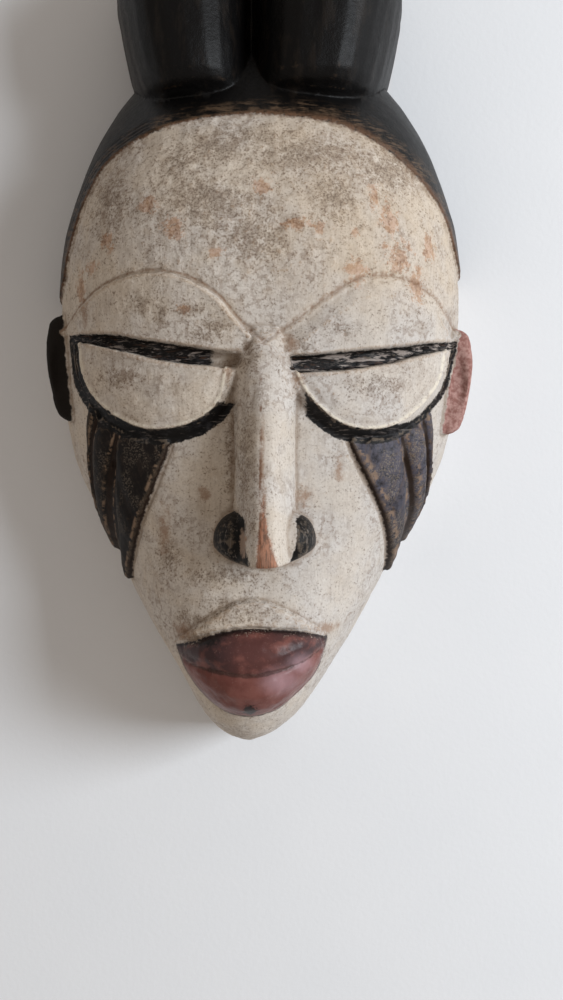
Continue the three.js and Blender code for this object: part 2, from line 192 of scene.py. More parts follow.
def line(points, per=8):
    """A smooth line through points given in hundredths of the half sizes."""
    p = np.array(points, float) * [WIDTH / 200, HEIGHT / 200]
    p = np.vstack([2 * p[0] - p[1], p, 2 * p[-1] - p[-2]])
    t = np.linspace(0, 1, per, endpoint=False)[:, None]
    spans = []
    for a, b, c, d in zip(p, p[1:], p[2:], p[3:]):
        spans.append(0.5 * (2 * b + (c - a) * t + (2 * a - 5 * b + 4 * c - d) * t**2
                            + (3 * b - a - 3 * c + d) * t**3))
    return np.vstack(spans + [p[-2:-1]])


def distance(flat, path, closed=False, reach=FAR):
    """Distance of 2-D points from a path; inside a closed one it is positive, else negative."""
    near = np.all((flat > path.min(0) - reach) & (flat < path.max(0) + reach), axis=1)
    if not near.all():
        found = np.full(len(flat), -reach if closed else reach)
        found[near] = distance(flat[near], path, closed, 1e6)
        return found
    ends = np.roll(path, -1, 0) if closed else path[1:]
    best = np.full(len(flat), 1e18)
    inside = np.zeros(len(flat), bool)
    x, y = flat.T
    for (ax, ay), (bx, by) in zip(path, ends):
        ex, ey = bx - ax, by - ay
        t = np.clip(((x - ax) * ex + (y - ay) * ey) / (ex * ex + ey * ey + 1e-12), 0, 1)
        best = np.minimum(best, (x - ax - t * ex) ** 2 + (y - ay - t * ey) ** 2)
        if closed and ay != by:
            inside ^= ((ay > y) != (by > y)) & (x < ex * (y - ay) / ey + ax)
    best = np.sqrt(best)
    return np.where(inside, best, -best) if closed else best


def between(top, low):
    """The closed outline between two lines that run the same way."""
    return np.vstack([line(top), line(low)[::-1]])


def smooth(low, high, x):
    """0 at low and before it, 1 at high and beyond, with a soft passage between."""
    t = np.clip((x - low) / (high - low), 0, 1)
    return t * t * (3 - 2 * t)


lattice = np.random.default_rng(41).random((32, 32, 32))


def noise(co, size, shift=0.0):
    """Soft noise of 0 to 1 with bumps about size across; size may differ by axis."""
    q = co / np.asarray(size, float) + shift
    cell = np.floor(q).astype(int)
    f = q - cell
    f = f * f * (3 - 2 * f)
    total = 0
    for corner in np.ndindex(2, 2, 2):
        weight = np.prod(np.where(corner, f, 1 - f), axis=1)
        i, j, k = ((cell + corner) % 32).T
        total = total + weight * lattice[i, j, k]
    return total


def carve_mesh():
    """The solid's surface as one dense mesh."""
    solid = bpy.data.objects["mask"]
    draft = bpy.data.objects.new("draft", solid.data.copy())
    bpy.context.scene.collection.objects.link(draft)
    remesh = draft.modifiers.new("remesh", "REMESH")
    remesh.mode = "VOXEL"
    remesh.voxel_size = VOXEL * MM
    remesh.adaptivity = 0
    graph = bpy.context.evaluated_depsgraph_get()
    dense = bpy.data.meshes.new_from_object(draft.evaluated_get(graph))
    bpy.data.objects.remove(draft)
    dense.name = "carving"
    return dense


def arrays(mesh):
    """The mesh's points in millimetres, and the corners of its faces in one row."""
    co = np.empty(len(mesh.vertices) * 3)
    mesh.vertices.foreach_get("co", co)
    loops = np.empty(len(mesh.loops), np.int64)
    mesh.loops.foreach_get("vertex_index", loops)
    return co.reshape(-1, 3) / MM, loops


def gather(index, values, count):
    """Adds up the vectors that share an index."""
    return np.stack([np.bincount(index, values[:, i], count) for i in range(3)], 1)


def unit(v):
    return v / np.maximum(np.linalg.norm(v, axis=1, keepdims=True), 1e-12)


def quad_normals(co, quads):
    return unit(np.cross(co[quads[:, 2]] - co[quads[:, 0]], co[quads[:, 3]] - co[quads[:, 1]]))


def flatten_facets(co, quads, pairs, passes, rounds, sigma):
    """Evens out facets and the grid's steps but keeps carved edges."""
    count = len(quads)
    for _ in range(passes):
        n = quad_normals(co, quads)
        for _ in range(rounds):
            a, b = n[pairs[:, 0]], n[pairs[:, 1]]
            w = np.exp(-((a - b) ** 2).sum(1) / (2 * sigma**2))[:, None]
            n = unit(n + gather(pairs[:, 0], w * b, count) + gather(pairs[:, 1], w * a, count))
        centre = co[quads].mean(1)
        corner = quads.ravel()
        face = np.repeat(np.arange(count), 4)
        reach = ((centre[face] - co[corner]) * n[face]).sum(1, keepdims=True)
        share = np.maximum(np.bincount(corner, minlength=len(co)), 1)[:, None]
        co = co + gather(corner, reach * n[face], len(co)) / share
    return co


def vertex_normals(co, quads):
    n = np.cross(co[quads[:, 2]] - co[quads[:, 0]], co[quads[:, 3]] - co[quads[:, 1]])
    return unit(gather(quads.ravel(), np.repeat(n, 4, 0), len(co)))


def face_pairs(loops, quads):
    """The two faces and the two points of every edge."""
    nxt = np.roll(quads, -1, 1).ravel()
    key = np.minimum(loops, nxt) * (loops.max() + 1) + np.maximum(loops, nxt)
    order = np.argsort(key, kind="stable")
    return (order // 4).reshape(-1, 2), np.stack([loops, nxt], 1)[order[::2]]


def blur(values, edges, rounds):
    """Averages values over neighbouring vertices."""
    count = len(values)
    degree = np.bincount(edges.ravel(), minlength=count)
    for _ in range(rounds):
        if values.ndim == 1:
            total = (np.bincount(edges[:, 0], values[edges[:, 1]], count)
                     + np.bincount(edges[:, 1], values[edges[:, 0]], count))
            values = 0.5 * values + 0.5 * total / degree
        else:
            total = (gather(edges[:, 0], values[edges[:, 1]], count)
                     + gather(edges[:, 1], values[edges[:, 0]], count))
            values = 0.5 * values + 0.5 * total / degree[:, None]
    return values


def regions(co):
    """Signed distances in millimetres from the borders of everything painted or cut."""
    flat = co[:, :2]
    out, _ = proud(co)
    middle, half, high = section(co[:, 1])
    outside = out > PROUD_LEAST
    r = {"out": out, "outside": outside, "u": np.abs(co[:, 0] - middle) / half}

    above = np.array([[WIDTH, HEIGHT], [-WIDTH, HEIGHT]])
    r["hair"] = distance(flat, np.vstack([line(HAIRLINE), above]), closed=True)
    r["hair"] = np.where(co[:, 1] > HEIGHT * LOBES_FROM, FAR, r["hair"])

    for name in ("brow", "slot", "lid"):
        r[name] = np.full(len(co), -FAR)
    for name in ("brow_line", "slot_top", "lid_top", "arc"):
        r[name] = np.full(len(co), FAR)
    for side in ("left", "right"):
        lines = [s[side] for s in (BROWS, SLOT_TOPS, LID_TOPS, LID_ARCS)]
        for k, name in enumerate(("brow", "slot", "lid")):
            d = distance(flat, between(lines[k], lines[k + 1]), closed=True)
            r[name] = np.maximum(r[name], d)
        for k, name in enumerate(("brow_line", "slot_top", "lid_top", "arc")):
            r[name] = np.minimum(r[name], distance(flat, line(lines[k])))
    r["lip"] = distance(flat, between(MOUTH_TOP, MOUTH_LOW), closed=True)
    under = np.array([[40, -HEIGHT], [-40, -HEIGHT]])
    r["lower"] = distance(flat, np.vstack([line(LIP_LINE), under]), closed=True)
    r["arch"] = distance(flat, between(ARCH_TOP, MOUTH_TOP), closed=True)
    r["wing"] = np.maximum(*(distance(flat, np.array(w), closed=True) for w in WINGS))
    r["tip"] = distance(flat, np.array(TIP), closed=True)

    v = np.maximum(co[:, 2], 0) / high
    u = np.maximum(r["u"], 1e-6)
    angle = np.degrees(np.arctan2(v ** (SQUARE / 2), u ** (SQUARE / 2)))
    side = np.where(co[:, 0] > middle, 1, -1)
    r["tress"], r["panel"] = np.full((2, len(co)), -FAR)
    r["seam"], r["inner"] = np.full((2, len(co)), FAR)
    t = np.linspace(0, 1, 20)
    mix = lambda a, b, share: a + (b - a) * share
    turned = r["turned"] = np.stack([angle * TO_DEGREE, co[:, 1]], 1)
    for s, (turn, share, lift) in TRESS_SIDES.items():
        here = (side == s) & outside
        panel = []
        for k, (top, tip, inner, outer, end, bend) in enumerate(TRESSES):
            y = mix(top, tip + lift, t) * HEIGHT / 200
            a = mix(inner + turn, end * share + TIP_HALF, t**TIP_BEND) * TO_DEGREE
            b = mix(outer + turn, end * share - TIP_HALF, t**bend) * TO_DEGREE
            a_line, b_line = np.stack([a, y], 1), np.stack([b, y], 1)
            d = distance(turned, np.vstack([a_line, b_line[::-1]]), closed=True)
            r["tress"] = np.where(here, np.maximum(r["tress"], d), r["tress"])
            d = distance(turned, a_line)
            name = "inner" if k == 0 else "seam"
            r[name] = np.where(here, np.minimum(r[name], d), r[name])
            panel += [a_line if k == 0 else a_line[-1:], b_line[-1:]]
        d = distance(turned, np.vstack(panel + [b_line[::-1]]), closed=True)
        r["panel"] = np.where(here, d, r["panel"])
    return r


def eye_form(co, r):
    """Height of the carved brow, slot and lid over the plain face, and where they are."""
    bury, brow_height, lid_height = 1.3, 2.8, 5
    lid_bevel, cut = 4.6, 1.1  # widths of the slopes, and of the steep sides of the slot
    corners, corner_size = ((-80, -5), (84, -7)), 11  # where the forms run out
    ramp = lambda d, width, rise: np.clip(d / width, 0, 1) * (rise + bury) - bury
    h = np.zeros(len(co))
    brow_bevel = np.where(co[:, 0] > 2.7, 8, 2.2)  # soft on the right, steep on the left
    brow = np.minimum(ramp(r["brow_line"], brow_bevel, brow_height),
                      ramp(r["slot_top"], cut, brow_height))
    h = np.where(r["brow"] > 0, np.maximum(brow, 0), h)
    slot = -bury - bury * np.clip(r["slot"], 0, 1)
    h = np.where(r["slot"] > 0, slot, h)
    crown = 0.5 * smooth(lid_bevel, 10, r["arc"])
    lid = np.minimum(ramp(r["arc"], lid_bevel, lid_height),
                     ramp(r["lid_top"], cut, lid_height)) + crown
    h = np.where(r["lid"] > 0, np.maximum(lid, 0), h)
    for x, y in corners:
        away = np.hypot(co[:, 0] - x, co[:, 1] - y) / corner_size
        h = h * (0.3 + 0.7 * np.clip(away, 0, 1))
    return h, np.maximum(np.maximum(r["brow"], r["slot"]), r["lid"])


def ridge(d, at, width, height):
    """A soft ridge, or with a height below 0 a groove, at the distance `at` from a border."""
    return height * np.exp(-(((d - at) / width) ** 2))


def brow_distance(r):
    """Distance from the brow's upper line, positive below it."""
    return np.where(r["brow"] > 0, r["brow_line"], -r["brow_line"])


def relief(co, r, n):
    """Fine carving over the solid's forms, in millimetres along the surface's normal."""
    x, y = co[:, 0], co[:, 1]
    left = 1 - smooth(0, 6, x)
    front = np.where(r["outside"], smooth(-0.2, 0.2, n[:, 2]), 0)
    face = front * (r["out"] < 8)  # without the nose, lips and ears
    h = np.zeros(len(co))

    # The line of the brow: a soft lip on the left, a cut on the right.
    brow = brow_distance(r)
    h += face * left * (ridge(brow, 2.0, 1.1, 0.5) + ridge(brow, -0.4, 0.6, -0.35))
    h += face * (1 - left) * (ridge(brow, 1.2, 0.9, 0.15) + ridge(brow, -0.1, 0.5, -0.5))
    # A thin rim round the lid inside its bevel, and a ledge under the brow.
    lid = np.where(r["lid"] > 0, r["arc"], -1)
    h += face * (ridge(lid, 5.4, 0.6, 0.55) + ridge(lid, 7.0, 1.0, -0.25))
    h += face * np.where(r["slot"] > 0, 0, ridge(r["slot_top"], 0.9, 0.7, 0.3))
    h += face * np.where(r["slot"] > 0.3, 1.2 * (noise(co, (9, 2.2, 9), 3.1) - 0.5), 0)
    # Tresses: a rim and a groove along the inner edge, deeper seams, and long flutes.
    cheek = front * smooth(-0.5, -2.5, r["lid"])
    inner = np.where(r["tress"] > 0, r["inner"], -r["inner"])
    h += cheek * (ridge(inner, 1.3, 0.7, 0.6) + ridge(inner, -0.6, 0.8, -0.7))
    in_tress = cheek * smooth(-0.2, 1.2, r["tress"])
    h += in_tress * ridge(r["seam"], 0, 0.8, -0.7)
    h += in_tress * 0.7 * (noise(np.stack([r["turned"][:, 0], y, 0 * y], 1), (4.6, 60, 9)) - 0.5)
    # Lips: a soft step along the line between them, and a cut round them.
    lower = np.where(r["lip"] > 0, r["lower"], FAR)
    lip = front * smooth(0, 3, r["lip"])
    h += lip * (ridge(lower, 0.3, 0.7, -0.45) + ridge(lower, -1.6, 1.2, 0.3))
    h += front * ridge(r["lip"], -0.2, 0.6, -0.4)
    arch = front * smooth(0, 1.5, r["arch"])
    h += arch * 0.4 * (noise(co, (2.6, 0.9, 9), 1.7) - 0.5)
    # Hairline, and old scratches beside it on the left.
    plain = face * (r["u"] < 0.98)
    h += plain * ridge(r["hair"], -0.3, 0.8, -0.2)
    scratched = plain * (1 - smooth(-48, -40, x)) * smooth(25, 40, y)
    for k in (2.4, 3.9, 5.8):
        h += scratched * ridge(r["hair"], k, 0.35, -0.35)
    # The lobes' long flats, and the knife's marks everywhere.
    lobe = (y > 95) * (co[:, 2] > 4) * smooth(3, 9, r["out"])
    h += lobe * 1.1 * (noise(co, (9, 70, 9), 5.3) - 0.5)
    h += r["outside"] * 0.55 * (noise(co, (13, 17, 15), 7.7) - 0.5)
    h += r["outside"] * 0.22 * (noise(co, (4.5, 6, 5), 2.2) - 0.5)
    # Lumpy paint on the forehead, with flaked patches.
    white = face * (1 - smooth(-1, 1, r["hair"])) * (1 - smooth(-1, 0, r["tress"]))
    forehead = white * smooth(-5, 20, y)
    h += forehead * 0.6 * (noise(co, 2.5, 4.4) - 0.5)
    h += white * 0.3 * (noise(co, (1.9, 1.9, 1.9), 6.1) - 0.5)
    flakes = smooth(0.60, 0.66, noise(co, (5.5, 4.5, 5), 9.1) * 0.75 + noise(co, 1.8, 2.9) * 0.25)
    h -= white * 0.16 * flakes
    h -= 1.1 * face * np.exp(-((x - 34.9) ** 2 + (y + 7.3) ** 2) / 0.9)
    # The lids swell between their rim and a shallow fold below the slot.
    fold = np.where(r["lid"] > 0, ridge(r["lid_top"], 4, 2, -0.35), 0)
    h += face * (ridge(lid, 16, 6, 0.7) + fold)
    # Chips out of the lids' and tresses' edges.
    chip = smooth(0.66, 0.8, noise(co, (2.6, 2.2, 2.6), 6.6))
    h -= face * 0.45 * chip * ridge(lid, 5.0, 0.8, 1)
    chip = smooth(0.72, 0.85, noise(co, 5.5, 3.6))
    h -= cheek * 0.5 * chip * ridge(r["tress"], 0.2, 1.0, 1)
    # Gouge marks in the hollow.
    inside = smooth(-7, -9, r["out"]) * (co[:, 2] > 1.5)
    row = y / 23 + 0.4 * noise(co, (20, 60, 20), 1.1)
    gouge = np.abs((x / 11 + 0.5 * np.floor(row) + 0.3 * noise(co, 16, 8.8)) % 1 - 0.5)
    h += inside * (gouge * 1.8 - 0.5) * (1 - 0.6 * np.abs((row % 1) - 0.5))
    return h


def blobs(co, places, n):
    """1 in the middle of the listed patches, 0 at their edge, less outside."""
    best = np.full(len(co), -2.0)
    for px, py, rx, ry in places:
        d = np.hypot((co[:, 0] - px) / rx, (co[:, 1] - py) / ry)
        best = np.maximum(best, 1 - d)
    return np.where(n[:, 2] > 0, best, -2)


def write(mesh, name, values):
    layer = mesh.attributes.new(name, "FLOAT", "POINT")
    layer.data.foreach_set("value", np.ascontiguousarray(values, np.float32))


def lay_smooth(co):
    """Lays the open face and the cap of hair on their smooth forms."""
    for rise in (0, 1.6):
        out, way = proud(co)
        near = (1 - smooth(0.45, 0.8, np.abs(out - rise))) * smooth(2, 6, co[:, 2])
        co = co - way * ((out - rise) * near)[:, None]
    return co


def sharpen(co, r, quads, edges):
    """Cuts the eyes anew to their exact form, and softens the steps of the other borders."""
    form, where = eye_form(co, r)
    _, _, high = section(co[:, 1])
    plain = high * np.maximum(1 - r["u"] ** SQUARE, 0) ** (1 / SQUARE)
    gap = plain + form - co[:, 2]
    n = vertex_normals(co, quads)
    near = smooth(-0.6, 0, where) * (1 - smooth(1.0, 1.7, np.abs(gap))) * smooth(0.1, 0.3, n[:, 2])
    co[:, 2] += gap * near * (r["u"] < 0.985)
    co = np.where((where > -1)[:, None], blur(co, edges, 1), co)
    border = np.min([np.abs(r[name]) for name in ("tress", "inner", "seam", "hair", "lip")], 0)
    border = np.where(r["outside"] & (where < -1.5), border, FAR)
    return np.where((border < 2.2)[:, None], blur(co, edges, 4), co), where


def settle(co, n):
    """Keeps the back rim flat on the floor, and everything within the solid's box."""
    low = co[:, 2] < 0.6
    co[:, 2] = np.where(low & (n[:, 2] < -0.5), 0, np.maximum(co[:, 2], 0))
    box = np.array(cad_box) / MM
    return np.clip(co, box[0] + 0.02, box[1] - 0.02)


def ink_border(co, r):
    """Signed distance from the border of the black paint on eyes and nose."""
    x, y = co[:, 0], co[:, 1]
    side = np.where(x < 0, np.maximum(-(34 + y) * 0.5, -(x + 34)), 0.45 * (x - 19))
    outer = smooth(52, 68, x)
    band = np.minimum(5.0 - 2.6 * outer - r["arc"], r["lid"] + 1.1 - 0.9 * outer)
    band = np.minimum(band, side)
    slot = np.minimum(r["slot"] + 0.4, np.where(x < 0, -(x + 18) * 0.3, (x - 13) * 0.5))
    nose = np.where((r["out"] > 3) & (y > -112), r["wing"], -FAR)
    return np.maximum(np.maximum(band, slot), nose)


def carve():
    """The finished carving: the solid's form, smoothed, with its fine relief and paint maps."""
    mesh = carve_mesh()
    co, loops = arrays(mesh)
    quads = loops.reshape(-1, 4)
    pairs, edges = face_pairs(loops, quads)
    co = flatten_facets(co, quads, pairs, passes=6, rounds=5, sigma=0.32)
    co = lay_smooth(co)
    r = regions(co)
    co, where = sharpen(co, r, quads, edges)
    n = vertex_normals(co, quads)
    co = settle(co + n * relief(co, r, n)[:, None], n)
    mesh.vertices.foreach_set("co", (co * MM).ravel())

    n = vertex_normals(co, quads)
    near = ((co - blur(co, edges, 4)) * n).sum(1)
    far = ((co - blur(co, edges, 30)) * n).sum(1)
    x, y = co[:, 0], co[:, 1]
    bare = np.maximum(smooth(-3, -6, r["out"]) * (y < 92), 1 - smooth(0.2, 0.9, co[:, 2]))
    ear = (np.abs(x) > 79) & (r["out"] > 1) & (y > -52) & (y < 14) & (where < -0.8)
    ear = blur(ear * smooth(44, 41, co[:, 2]) * smooth(26, 29, co[:, 2]), edges, 2)
    maps = {
        "hair": np.where(r["outside"] | (y > 92), r["hair"], -FAR),
        "ink": np.where(r["outside"], ink_border(co, r), -FAR),
        "slot": np.where(r["outside"], r["slot"], -FAR),
        "tress": np.minimum(np.maximum(r["panel"], r["tress"]) + 0.3, 0.6 - r["lid"]),
        "lip": np.where(r["outside"], r["lip"], -FAR),
        "lower": r["lower"],
        "tip": np.where(r["out"] > 12, r["tip"], -FAR),
        "ear": ear,
        "bare": bare,
        "edge": np.clip(near / 0.10, -1, 1),
        "cavity": np.clip(-far / 0.6, -1, 1),
        "bald": blobs(co, BALD_AND_SHEEN, n),
        "soot": blobs(co, SOOT_AND_SHADE, n),
        "stain": blobs(co, STAIN, n),
        "brow_line": np.where(r["outside"] & (np.abs(x) < 86), brow_distance(r), FAR),
        "rim": np.where(r["lid"] > 0, np.abs(r["arc"] - 5.5), FAR),
        "arc": np.where(r["lid"] > 0, r["arc"], 0),
        "seam": np.minimum(r["seam"], r["inner"]),
        "across": r["turned"][:, 0],
    }
    for name, values in maps.items():
        write(mesh, name, values)
    return mesh, len(quads) * 2


def srgb(r, g, b):
    """The tool's colour for a screen colour of 0 to 255."""
    linear = lambda c: ((c / 255 + 0.055) / 1.055) ** 2.4 if c > 10 else c / 3295
    return (linear(r), linear(g), linear(b), 1)


class Nodes:
    """Small helpers for building a material's nodes."""

    def __init__(self, name):
        self.material = bpy.data.materials.new(name)
        self.material.use_nodes = True
        self.tree = self.material.node_tree
        self.shader = self.tree.nodes["Principled BSDF"]
        coordinates = self.tree.nodes.new("ShaderNodeTexCoord")
        scale = self.tree.nodes.new("ShaderNodeMapping")
        scale.inputs["Scale"].default_value = (1000, 1000, 1000)
        self.tree.links.new(coordinates.outputs["Object"], scale.inputs["Vector"])
        self.place = scale.outputs["Vector"]

    def add(self, kind, inputs, **settings):
        node = self.tree.nodes.new(kind)
        for key, value in settings.items():
            setattr(node, key, value)
        for key, value in inputs.items():
            if isinstance(value, bpy.types.NodeSocket):
                self.tree.links.new(value, node.inputs[key])
            else:
                node.inputs[key].default_value = value
        return node

    def read(self, name):
        return self.add("ShaderNodeAttribute", {}, attribute_name=name).outputs["Fac"]

    def math(self, operation, a, b=0.0):
        return self.add("ShaderNodeMath", {0: a, 1: b}, operation=operation).outputs[0]

    def times(self, a, b):
        return self.math("MULTIPLY", a, b)

    def plus(self, a, b):
        return self.math("ADD", a, b)

    def less(self, a, b):
        return self.math("SUBTRACT", a, b)

    def rest(self, share):
        """What a share of 0 to 1 leaves of 1."""
        return self.less(1.0, share)

    def sway(self, noise, by):
        """Noise of 0 to 1 as a swing about 0, of `by` in all."""
        return self.times(self.less(noise, 0.5), by)

    def rise(self, value, low, high, to=1.0):
        """0 below low and `to` above high, with a soft passage between."""
        node = self.add("ShaderNodeMapRange", {"Value": value, "From Min": low, "From Max": high,
                                               "To Min": 0.0, "To Max": to},
                        interpolation_type="SMOOTHSTEP")
        return node.outputs["Result"]

    def noise(self, size, detail=3.0, rough=0.55, bend=0.0, turn=(0, 0, 0)):
        """Noise with bumps about size millimetres across; size may differ by axis."""
        size = size if isinstance(size, tuple) else (size, size, size)
        place = self.add("ShaderNodeMapping", {"Vector": self.place, "Rotation": turn,
                                               "Scale": tuple(1 / s for s in size)})
        node = self.add("ShaderNodeTexNoise", {"Vector": place.outputs["Vector"], "Scale": 1.0,
                                               "Detail": detail, "Roughness": rough,
                                               "Distortion": bend})
        return node.outputs["Fac"]

    def blend(self, share, a, b, how="MIX"):
        node = self.add("ShaderNodeMix", {"Factor": share}, data_type="RGBA", blend_type=how,
                        clamp_factor=True)
        for key, value in ((6, a), (7, b)):
            if isinstance(value, bpy.types.NodeSocket):
                self.tree.links.new(value, node.inputs[key])
            else:
                node.inputs[key].default_value = value
        return node.outputs[2]


class Paint(Nodes):
    """The nodes of the mask's paint, with the maps and the noise that its colours share."""

    def __init__(self):
        super().__init__("painted_wood")
        noise, rise, sway = self.noise, self.rise, self.sway
        self.broad, self.medium, self.small = noise(26), noise(7.5, 4), noise(2.2, 4, 0.6)
        self.mottle, self.fine = noise(3.6, 5, 0.8), noise(0.9, 2, 0.7)
        self.grain = noise((1.1, 13, 1.1), 3, 0.7)
        self.ragged = sway(noise(2.2, 2, 0.8), 2.6)
        self.fraying = sway(noise(4.2, 4, 0.85), 8.0)
        self.edge, self.cavity = self.read("edge"), self.read("cavity")
        self.soot, self.bald, self.stain = (self.read(k) for k in ("soot", "bald", "stain"))
        self.x, self.y, self.z = self.add("ShaderNodeSeparateXYZ", {0: self.place}).outputs
        self.high, self.right = rise(self.y, -12, 25), rise(self.x, -15, 25)
        self.low = rise(self.y, -76, -82)  # from the wings of the nose down
        self.rubbed = rise(self.plus(self.edge, sway(self.small, 2.4)), 0.4, 1.0, 0.7)


def white_paint(m):
    """White clay: warm and cool areas, yellowed and thin places, grain, crackle and specks, and
    painted light on the right.
    """
    times, plus, rise, blend, right = m.times, m.plus, m.rise, m.blend, m.right
    white = blend(rise(m.broad, 0.36, 0.6), srgb(204, 192, 177), srgb(202, 194, 185))
    white = blend(rise(m.medium, 0.48, 0.68, 0.3), white, srgb(190, 172, 150))
    white = blend(rise(m.mottle, 0.42, 0.3, 0.5), white, srgb(221, 214, 203))
    white = blend(rise(m.noise(12, 5, 0.65), 0.5, 0.68, 0.32), white, srgb(154, 139, 124))
    white = blend(rise(m.fine, 0.4, 0.64, 0.2), white, srgb(150, 134, 118))
    thin = plus(m.mottle, plus(times(rise(m.soot, -0.9, 0.9), 0.17), times(m.high, 0.03)))
    white = blend(rise(thin, 0.52, 0.74, 0.58), white, srgb(146, 127, 108))
    white = blend(rise(m.grain, 0.5, 0.72, 0.34), white, srgb(150, 132, 116))
    # Painted light on the right: the white is darkened a little there to tone down its light, its
    # lower part is tinted cool as painted cool light, and its upper part is tinted warm.
    white = blend(times(right, 0.1), white, srgb(112, 106, 100))
    white = blend(times(times(right, m.rest(m.high)), 0.14), white, srgb(186, 192, 202))
    white = blend(times(times(right, m.high), 0.16), white, srgb(196, 166, 128))
    crack = m.add("ShaderNodeTexVoronoi", {"Vector": m.place, "Scale": 0.2, "Detail": 2.0},
                  feature="DISTANCE_TO_EDGE").outputs["Distance"]
    split = times(m.rest(rise(plus(crack, m.sway(m.small, 0.6)), 0.0, 0.06)),
                  rise(m.broad, 0.45, 0.6))
    white = blend(times(split, 0.4), white, srgb(120, 98, 82))
    specks = rise(plus(m.fine, times(thin, 0.6)), 0.91, 1.06)
    return blend(times(specks, 0.55), white, srgb(92, 76, 64))


def white_wear(m, white):
    """Bare, brown and sooty places on the white, painted shade among the sooty ones, dark hollows
    and rubbed edges.
    """
    times, plus, rise, blend = m.times, m.plus, m.rise, m.blend
    patch = rise(plus(times(m.bald, 2.2), times(m.fraying, 1.2)), 0.1, 1.2)
    bare = blend(rise(m.small, 0.4, 0.6), srgb(162, 120, 84), srgb(186, 152, 130))
    bare = blend(rise(m.mottle, 0.46, 0.6, 0.8), bare, srgb(120, 82, 54))
    white = blend(times(patch, 0.66), white, bare)
    brown = rise(plus(times(m.stain, 2.4), times(m.fraying, 0.8)), 0.0, 2.2, 0.7)
    white = blend(brown, white, srgb(136, 104, 80))
    # Sooty dirt darkens the white; by the nose's left side the same darkening is painted shade.
    dirt_and_shade = rise(plus(m.soot, times(m.fraying, 0.25)), 0.0, 0.9)
    dirt_and_shade = times(dirt_and_shade, rise(m.mottle, 0.36, 0.54))
    white = blend(times(dirt_and_shade, 0.22), white, srgb(98, 86, 75))
    white = blend(rise(m.cavity, 0.15, 0.9, 0.5), white, srgb(122, 100, 80))
    rubbed = rise(plus(m.edge, m.sway(m.fine, 1.4)), 0.6, 1.1, 0.35)
    return blend(rubbed, white, srgb(168, 142, 116))


def white_lines(m, white):
    """Brown dirt along the brows, and painted shade above the left one; pale rims on the lids, and
    darker arcs of stain and painted shade; the nose's crest.
    """
    times, plus, rise, blend = m.times, m.plus, m.rise, m.blend
    # Brown dirt along the brow lines, widest on the right; on the left the thin line is also
    # painted shade in the crease above the ridge.
    off = m.math("ABSOLUTE", plus(m.read("brow_line"), plus(0.25, times(m.ragged, 0.4))))
    brow = m.rest(rise(off, 0.1, plus(0.75, times(m.right, 1.3))))
    white = blend(times(brow, rise(m.small, 0.36, 0.6, 0.6)), white, srgb(126, 94, 70))
    rim = m.rest(rise(m.read("rim"), 0.3, 0.9))
    white = blend(times(rim, rise(m.small, 0.34, 0.56, 0.75)), white, srgb(220, 211, 194))
    # Darker arcs across the lids: stains, and painted shade of the lids' swell.
    arc = m.read("arc")
    apart = m.add("ShaderNodeCombineXYZ", {"X": times(arc, 0.8), "Y": times(m.x, 0.05),
                                           "Z": times(m.y, 0.05)}).outputs[0]
    fold = m.add("ShaderNodeTexNoise", {"Vector": apart, "Scale": 1.0, "Detail": 3.0,
                                        "Roughness": 0.7}).outputs["Fac"]
    fold = times(rise(fold, 0.5, 0.66, 0.28), rise(arc, 5.6, 7.5))
    white = blend(times(fold, rise(m.mottle, 0.36, 0.56)), white, srgb(118, 96, 80))
    crest = m.math("ABSOLUTE", m.less(plus(m.x, times(m.ragged, 0.5)), 1.5))
    crest = times(m.rest(rise(crest, 0.1, 0.9)), rise(m.z, 87, 90))
    crest = times(crest, rise(plus(m.medium, times(m.y, -0.002)), 0.5, 0.66, 0.85))
    return blend(times(crest, rise(m.y, -8, -34)), white, srgb(112, 78, 56))


def ink_paint(m):
    """Black with a dusty bloom, worn on edges, scratched, and streaked in the slots."""
    times, plus, rise, blend, noise = m.times, m.plus, m.rise, m.blend, m.noise
    black = blend(rise(m.broad, 0.35, 0.65), srgb(12, 11, 12), srgb(21, 19, 18))
    dust = times(rise(noise(5.5, 3, 0.75), 0.5, 0.7, 0.6), m.rest(m.low))
    ink = blend(times(dust, 0.3), black, srgb(90, 88, 92))
    ink = blend(m.rubbed, ink, srgb(104, 92, 80))
    scratch = rise(noise((7, 0.9, 7), 3, 0.7), 0.56, 0.7, 0.4)
    ink = blend(times(scratch, m.rest(m.low)), ink, srgb(140, 130, 124))
    in_slot = rise(m.read("slot"), -0.1, 0.5)
    # Pale and brown streaks in the slots; the slight lift towards the right makes more pale ones
    # there, painted light.
    light = plus(noise((9, 1.5, 9), 4, 0.75, 0.4), times(m.right, 0.03))
    ink = blend(times(in_slot, rise(light, 0.53, 0.64, 0.85)), ink, srgb(160, 148, 140))
    ink = blend(times(in_slot, rise(light, 0.45, 0.36, 0.5)), ink, srgb(92, 64, 48))
    strokes = rise(noise((0.9, 9, 0.9), 3, 0.7), 0.56, 0.68, 0.75)
    ink = blend(times(m.low, strokes), ink, srgb(120, 112, 106))
    # Bare patches through the black; the one on the left wing of the nose is a painted highlight.
    bare = rise(plus(times(m.bald, 2.2), m.ragged), 0.1, 1.0, 0.85)
    return blend(bare, ink, srgb(158, 136, 120))


